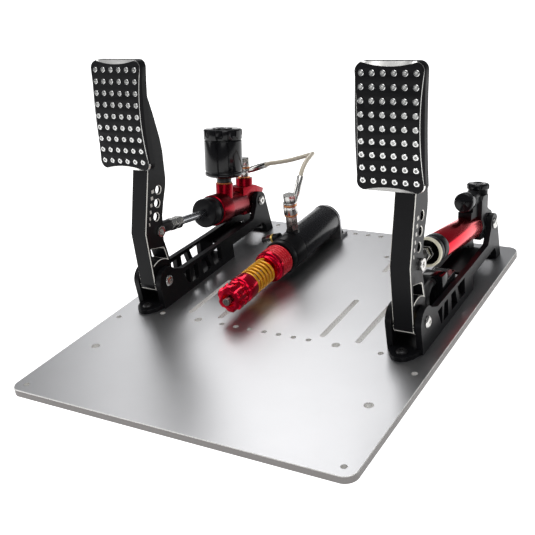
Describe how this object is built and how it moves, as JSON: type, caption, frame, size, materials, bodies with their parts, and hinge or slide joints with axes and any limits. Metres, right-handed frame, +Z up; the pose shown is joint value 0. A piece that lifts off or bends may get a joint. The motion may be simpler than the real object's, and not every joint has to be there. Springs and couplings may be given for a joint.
{
  "type": "sim racing pedal set",
  "caption": "Flat slotted plate with a hydraulic brake pedal on the left, a damped throttle pedal on the right, and a spring-loaded slave cylinder between them.",
  "frame": {"origin": "middle of the base plate's underside", "axes": "+X to the driver's right, +Y forwards away from the driver, +Z up off the plate"},
  "size_m": [0.4139, 0.49, 0.3035],
  "materials": {
    "plate": "satin",
    "black_alloy": "satin anodised",
    "red_alloy": "gloss anodised",
    "steel": "bright zinc",
    "dark_steel": "satin",
    "copper": "soft copper",
    "brass": "satin",
    "bronze": "satin",
    "black_plastic": "gloss",
    "sleeve_plastic": "matt",
    "orange_seal": "matt",
    "hose_braid": "braid under a clear coat",
    "yellow_paint": "gloss",
    "red_paint": "gloss",
    "pale_plastic": "satin",
    "bracket_alloy": "satin"
  },
  "bodies": {
    "frame": {"base_plate": "plate", "base_screws": "black_alloy", "brake_base": "black_alloy", "throttle_base": "black_alloy", "pivot_axles": "steel", "pivot_screws": "steel", "pivot_bushes": "bronze", "slave_bracket": "bracket_alloy", "slave_body": "black_alloy", "slave_front_cap": "black_alloy", "slave_adapter": "dark_steel", "slave_banjo_bolt": "steel", "slave_copper_washers": "copper", "slave_hose_end": "steel", "slave_bleeder": "brass", "red_spring": "red_paint", "sensor_box": "black_plastic", "sensor_lead": "sleeve_plastic", "brake_hose": "hose_braid"},
    "brake_pedal": {"brake_arm": "black_alloy", "brake_pad": "black_alloy", "brake_pad_studs": "steel", "brake_pad_screws": "steel", "brake_push_bolt": "steel"},
    "master_cylinder": {"cylinder_boot": "black_alloy", "cylinder_body": "red_alloy", "cylinder_spring": "steel", "reservoir_seal": "orange_seal", "reservoir_adapter": "black_alloy", "reservoir": "black_plastic", "cylinder_banjo_bolt": "steel", "cylinder_copper_washers": "copper", "cylinder_hose_end": "steel"},
    "reservoir_lid": {"reservoir_cap": "black_plastic"},
    "brake_rod": {"brake_rod_end": "black_alloy", "brake_rod_ball": "steel", "brake_rod_nuts": "steel", "brake_push_rod": "steel", "cylinder_piston": "steel"},
    "slave_rod": {"slave_shaft": "dark_steel", "spring_cup": "red_alloy"},
    "preload_adjuster": {"preload_knob": "red_alloy"},
    "spring_stage": {"spring_spacer": "red_alloy", "yellow_spring": "yellow_paint"},
    "throttle_pedal": {"throttle_arm": "black_alloy", "throttle_pad": "black_alloy", "throttle_pad_studs": "steel", "throttle_pad_screws": "steel", "throttle_push_bolt": "steel"},
    "damper": {"damper_rim": "pale_plastic", "damper_head": "black_alloy", "damper_tube": "red_alloy", "damper_spring": "steel", "damper_block": "black_alloy"},
    "damper_top_cap": {"damper_cap": "black_alloy"},
    "damping_adjuster": {"damper_knob": "black_alloy"},
    "throttle_rod": {"throttle_rod_end": "black_alloy", "throttle_rod_ball": "steel", "throttle_rod_nuts": "steel", "damper_rod": "steel"}
  },
  "joints": [
    {"name": "brake_pedal_press", "type": "hinge", "parent": "frame", "child": "brake_pedal", "pos_m": [-0.165, -0.0235, 0.0395], "axis": [-1, 0, 0], "range_deg": [0, 10], "stiffness_Nm_per_rad": 90, "springref_deg": -1.72},
    {"name": "master_cylinder_tilt", "type": "hinge", "parent": "frame", "child": "master_cylinder", "pos_m": [-0.165, 0.2, 0.0585], "axis": [1, 0, 0], "range_deg": [0, 0.12], "deforming": ["brake_hose"]},
    {"name": "brake_rod_slide", "type": "slide", "parent": "master_cylinder", "child": "brake_rod", "axis": [0, 0.9822, -0.188], "range_m": [0, 0.0107], "deforming": ["cylinder_spring"]},
    {"name": "reservoir_cap_turn", "type": "hinge", "parent": "master_cylinder", "child": "reservoir_lid", "pos_m": [-0.165, 0.14107, 0.06978], "axis": [0, 0.188, 0.9822], "continuous": true},
    {"name": "slave_rod_slide", "type": "slide", "parent": "frame", "child": "slave_rod", "axis": [0, 1, 0], "range_m": [0, 0.0044], "deforming": ["yellow_spring"]},
    {"name": "spring_spacer_slide", "type": "slide", "parent": "frame", "child": "spring_stage", "axis": [0, 1, 0], "range_m": [0, 0.0014], "deforming": ["red_spring"]},
    {"name": "preload_knob_turn", "type": "hinge", "parent": "slave_rod", "child": "preload_adjuster", "pos_m": [-0.0513, 0, 0.0335], "axis": [0, 1, 0], "continuous": true},
    {"name": "throttle_pedal_press", "type": "hinge", "parent": "frame", "child": "throttle_pedal", "pos_m": [0.165, -0.0235, 0.0395], "axis": [-1, 0, 0], "range_deg": [0, 15], "stiffness_Nm_per_rad": 14, "springref_deg": -4.58},
    {"name": "damper_tilt", "type": "hinge", "parent": "frame", "child": "damper", "pos_m": [0.165, 0.2, 0.0585], "axis": [1, 0, 0], "range_deg": [0, 0.34]},
    {"name": "throttle_rod_slide", "type": "slide", "parent": "damper", "child": "throttle_rod", "axis": [0, 0.9822, -0.188], "range_m": [0, 0.016], "deforming": ["damper_spring"]},
    {"name": "damper_cap_turn", "type": "hinge", "parent": "damper", "child": "damper_top_cap", "pos_m": [0.165, 0.19352, 0.05974], "axis": [0, 0.188, 0.9822], "continuous": true},
    {"name": "damper_knob_turn", "type": "hinge", "parent": "damper", "child": "damping_adjuster", "pos_m": [0.165, -0.00796, 0.13211], "axis": [0, 0.9822, -0.188], "continuous": true}
  ],
  "couplings": [
    {"joint": "brake_rod_slide", "follows": "brake_pedal_press", "m_per_rad": 0.060703},
    {"joint": "master_cylinder_tilt", "follows": "brake_pedal_press", "ratio": 0.01074},
    {"joint": "slave_rod_slide", "follows": "brake_pedal_press", "m_per_rad": 0.024637},
    {"joint": "spring_spacer_slide", "follows": "brake_pedal_press", "m_per_rad": 0.007448},
    {"joint": "throttle_rod_slide", "follows": "throttle_pedal_press", "m_per_rad": 0.060555},
    {"joint": "damper_tilt", "follows": "throttle_pedal_press", "ratio": 0.02168}
  ]
}
